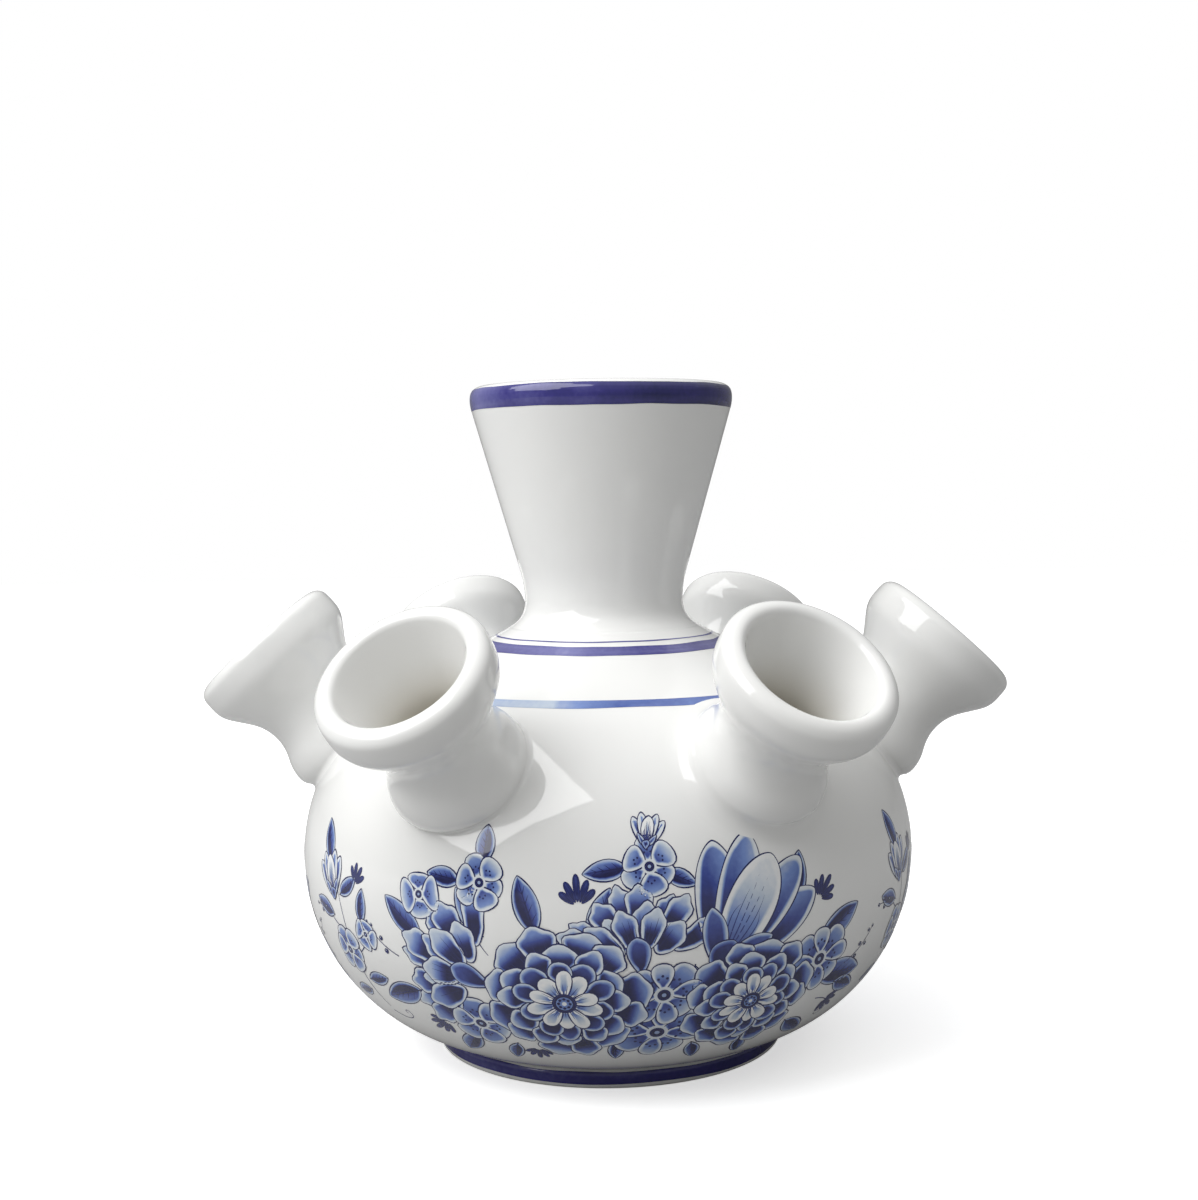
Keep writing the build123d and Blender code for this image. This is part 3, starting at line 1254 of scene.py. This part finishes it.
# Each line of leaves: angle from the front and height of its foot, the way it points, its
# length and which half is dark. Each other line: what is drawn, the angle and height of its
# place, and the rest that it takes.
bouquetLeaves = (
    (-33, 38, 140, 12, 1), (-36, 26, 200, 13, -1), (-27, 17, 232, 11, 1), (1, 17, 268, 8, -1),
    (37, 17, 322, 11, 1), (40, 27, 355, 15, -1), (38, 35, 30, 13, 1), (-12, 41, 108, 12, 1),
    (31, 43, 75, 12, -1), (-21, 40, 122, 11, -1), (16, 15.5, 285, 8, 1), (-3, 40, 70, 11, -1),
    (4, 33, 280, 13, 1), (14, 34, 262, 14, -1), (-19, 15.5, 250, 8, 1), (27, 14.5, 290, 8, -1),
    (46, 24, 340, 10, 1),
)
bouquetFlowers = (
    (addDabs, -5, 46.5, radians(95), 5.5, 1),
    (addDabs, -33, 19, radians(215), 5, 1),
    (addDabs, 46, 20, radians(325), 5, 1),
    (addDabs, 37, 44, radians(50), 5, 1),
    (addDabs, -15, 14.5, radians(262), 4.5, 1),
    (addStroke, -22, 38, [(2, -2), (-4, 5), (1, 13)], 0.34, 0, 0.9),
    (addStroke, -22, 38, [(-1, 2), (-11, 4), (-11, 9)], 0.34, 0, 0.9),
    (addStroke, 5, 40, [(-1, 0), (-2, 8), (2, 15)], 0.34, 0, 0.9),
    (addLeaf, -25, 50.5, radians(172), 8, 1, 0.55),
    (addLeaf, -21, 54, radians(88), 8, 1, 0.55, -1),
    (addBlossom, -21.5, 50.5, 5.6, 4, 0.3, 6),
    (addBlossom, -33, 47, 4.8, 4, 0.9, 4),
    (addLeaf, 3, 54, radians(188), 9, 1, 0.5),
    (addLeaf, 9, 53, radians(335), 7, 1, 0.55, -1),
    (addTulip, 6, 57.5, radians(80), 7, 1),
    (addBlossom, 6.5, 54, 5.8, 4, 0.1, 6),
    (addBerries, -39, 33, radians(160), 10, 1, -1),
    (addBerries, 47, 28, radians(25), 10, 1, 1),
    (addTendril, 42, 21, radians(-8), 17, 0, -1),
    (addTulip, 18, 33, radians(62), 27, 4),
    (addCarnation, -22, 30, radians(158), 19, 4),
    (addCarnation, 5, 34, radians(98), 17, 4),
    (addBlossom, 39, 31, 8, 5, 0.5, 8),
    (addBlossom, -25, 20, 7, 5, 0.2, 6),
    (addBlossom, 9, 28, 8, 11, 0.5, 8),
    (addRosette, 25.5, 24.5, 14.5, 12, 0.1),
    (addBlossom, 8.5, 19, 9, 8, 0.2, 8),
    (addRosette, -8, 26.5, 16.5, 20),
)
sprigLeaves = (
    (-57, 49, 115, 10, 1), (-54, 43, 35, 8, -1), (-57, 38, 165, 9, 1), (-51, 25, 15, 8, -1),
    (-53, 22, 195, 8, 1), (-48, 38, 80, 8, 1),
)
sprigFlowers = (
    (addStroke, -52, 33, [(3, -16), (-3, -8), (1, 2), (-5, 16)], 0.36, 0, 0.9),
    (addStroke, -52, 33, [(0, -3), (6, 0), (7, 5)], 0.32, 0, 0.9),
    (addStroke, -52, 33, [(-1, 2), (-7, 3), (-9, 7)], 0.32, 0, 0.9),
    (addTulip, -56, 42, radians(105), 10, 4),
    (addBlossom, -54, 31, 5.4, 4, 0.4, 6),
    (addBlossom, -47, 36, 3.6, 4, 0.4, 4),
    (addBerries, -59, 37, radians(150), 7, 1, 1, 4),
    (addTendril, -50, 18, radians(-30), 13, 0, 1),
    (addDabs, -49, 46, radians(70), 4.4, 1, 4),
)


# Each motif is drawn once and comes three times round the body
def paintMotifs(blue):
    motifs = ("bouquet", bouquetLeaves, bouquetFlowers), ("sprig", sprigLeaves, sprigFlowers)
    for name, leaves, flowers in motifs:
        sheet = newSheet(bodyOutline)
        for angle, height, turn, length, side in leaves:
            addLeaf(wallPlace(sheet, angle, height), radians(turn), length, 1, side=side)
        for draw, angle, height, *rest in flowers:
            draw(wallPlace(sheet, angle, height), *rest)
        first = makeSheet(f"{name}_1", sheet, blue)
        for number in (2, 3):
            copy = addToScene(f"{name}_{number}", first.data.copy())
            copy.data.name = copy.name
            turnSheet(copy.data, tau / 3 * (number - 1))
            finishPiece(copy, blue)


def turnSheet(mesh, angle):
    turn = Matrix.Rotation(angle, 4, "Z")
    normals = [turn.to_3x3() @ Vector(item.vector) for item in mesh.corner_normals]
    mesh.transform(turn)
    mesh.normals_split_custom_set(normals)


violetPaint = makePaint("violet_paint", {
    0: (0.62, 0.62, 0.68), 0.35: (0.36, 0.38, 0.58), 0.62: (0.15, 0.15, 0.36),
    0.86: (0.040, 0.036, 0.19), 1: (0.016, 0.018, 0.085),
})
bluePaint = makePaint("blue_paint", {
    0: (0.80, 0.80, 0.79), 0.25: (0.48, 0.55, 0.64), 0.5: (0.16, 0.245, 0.52),
    0.75: (0.042, 0.066, 0.27), 0.88: (0.022, 0.028, 0.13), 1: (0.013, 0.014, 0.062),
})
paintBands(bandSizes, violetPaint, bluePaint)
print("bands painted")
paintMotifs(bluePaint)
print("flowers painted")


# Studio: a floor and surroundings that look white to the camera, one large soft lamp at
# the left, and dim light from all round

studioSizes = {
    "floorSize": 4,
    "floorGrey": 0.38,
    "floorRoughness": 0.9,
    "floorWhite": 0.86,
    "floorGlow": 0.55,
    "horizonHeight": 0.1,
    "horizon": 0.22,
    "zenith": 0.92,
}

# The soft lamp is a square sheet whose corner is reflected to the right of the front left
# spout. The corner lies this way from the origin, at this share of its length, and the
# edges run from it along the two directions.
lampSizes = {
    "corner": (-0.075, -0.664, 0.890),
    "share": 0.9,
    "downLeft": (-0.833, -0.198, -0.517),
    "backLeft": (-0.459, 0.853, 0.246),
    "size": 0.9,
    "watts": 9.8,
}


def grey(value):
    return value, value, value, 1


# The camera sees the one shader, and every other ray meets the other
def splitRays(tree, seen, others, end):
    rays = addNode(tree, "LightPath")
    mix = addNode(tree, "MixShader")
    addLinks(
        tree,
        (rays, "Is Camera Ray", mix, "Fac"),
        (others, 0, mix, 1),
        (seen, 0, mix, 2),
        (mix, "Shader", tree.nodes[end], "Surface"),
    )


def makeFloor(sizes):
    deselect()
    bpy.ops.mesh.primitive_plane_add(size=sizes["floorSize"], location=(0, 0, 0))
    floor = bpy.context.object
    floor.name = "floor"
    material, tree, shader = startMaterial("studio_floor", Roughness=sizes["floorRoughness"])
    shader.inputs["Base Color"].default_value = grey(sizes["floorGrey"])
    white = addNode(tree, "BsdfDiffuse", {"Color": grey(sizes["floorWhite"])})
    glow = addNode(tree, "Emission", {"Strength": sizes["floorGlow"]})
    both = addNode(tree, "AddShader")
    addLinks(tree, (white, "BSDF", both, 0), (glow, "Emission", both, 1))
    splitRays(tree, both, shader, "Material Output")
    floor.data.materials.append(material)


# The light from all round grows from the horizon up
def makeWorld(sizes):
    world = bpy.data.worlds.new("studio")
    world.use_nodes = True
    bpy.context.scene.world = world
    tree = world.node_tree
    back = tree.nodes["Background"]
    back.inputs["Color"].default_value = grey(1)
    way = addNode(tree, "TexCoord")
    split = addNode(tree, "SeparateXYZ")
    ends = {
        "From Min": sizes["horizonHeight"], "To Min": sizes["horizon"], "To Max": sizes["zenith"]
    }
    rise = addNode(tree, "MapRange", ends, interpolation_type="SMOOTHSTEP")
    bright = addNode(tree, "Background", {"Color": grey(1)})
    addLinks(
        tree,
        (way, "Generated", split, "Vector"),
        (split, "Z", rise, "Value"),
        (rise, "Result", back, "Strength"),
    )
    splitRays(tree, bright, back, "World Output")


def makeLamp(sizes):
    data = bpy.data.lights.new("softbox", "AREA")
    data.shape = "SQUARE"
    data.size = sizes["size"]
    data.energy = sizes["watts"]
    lamp = addToScene("softbox", data)
    side = Vector(sizes["downLeft"]).normalized()
    back = side.cross(Vector(sizes["backLeft"])).normalized()
    up = back.cross(side)
    middle = Vector(sizes["corner"]) * sizes["share"] + (side + up) * sizes["size"] / 2
    turn = Matrix((side, -up, -back)).transposed().to_4x4()
    lamp.matrix_world = Matrix.Translation(middle) @ turn


makeFloor(studioSizes)
makeWorld(studioSizes)
makeLamp(lampSizes)
bpy.context.scene.view_settings.view_transform = "Standard"
print("studio lit")
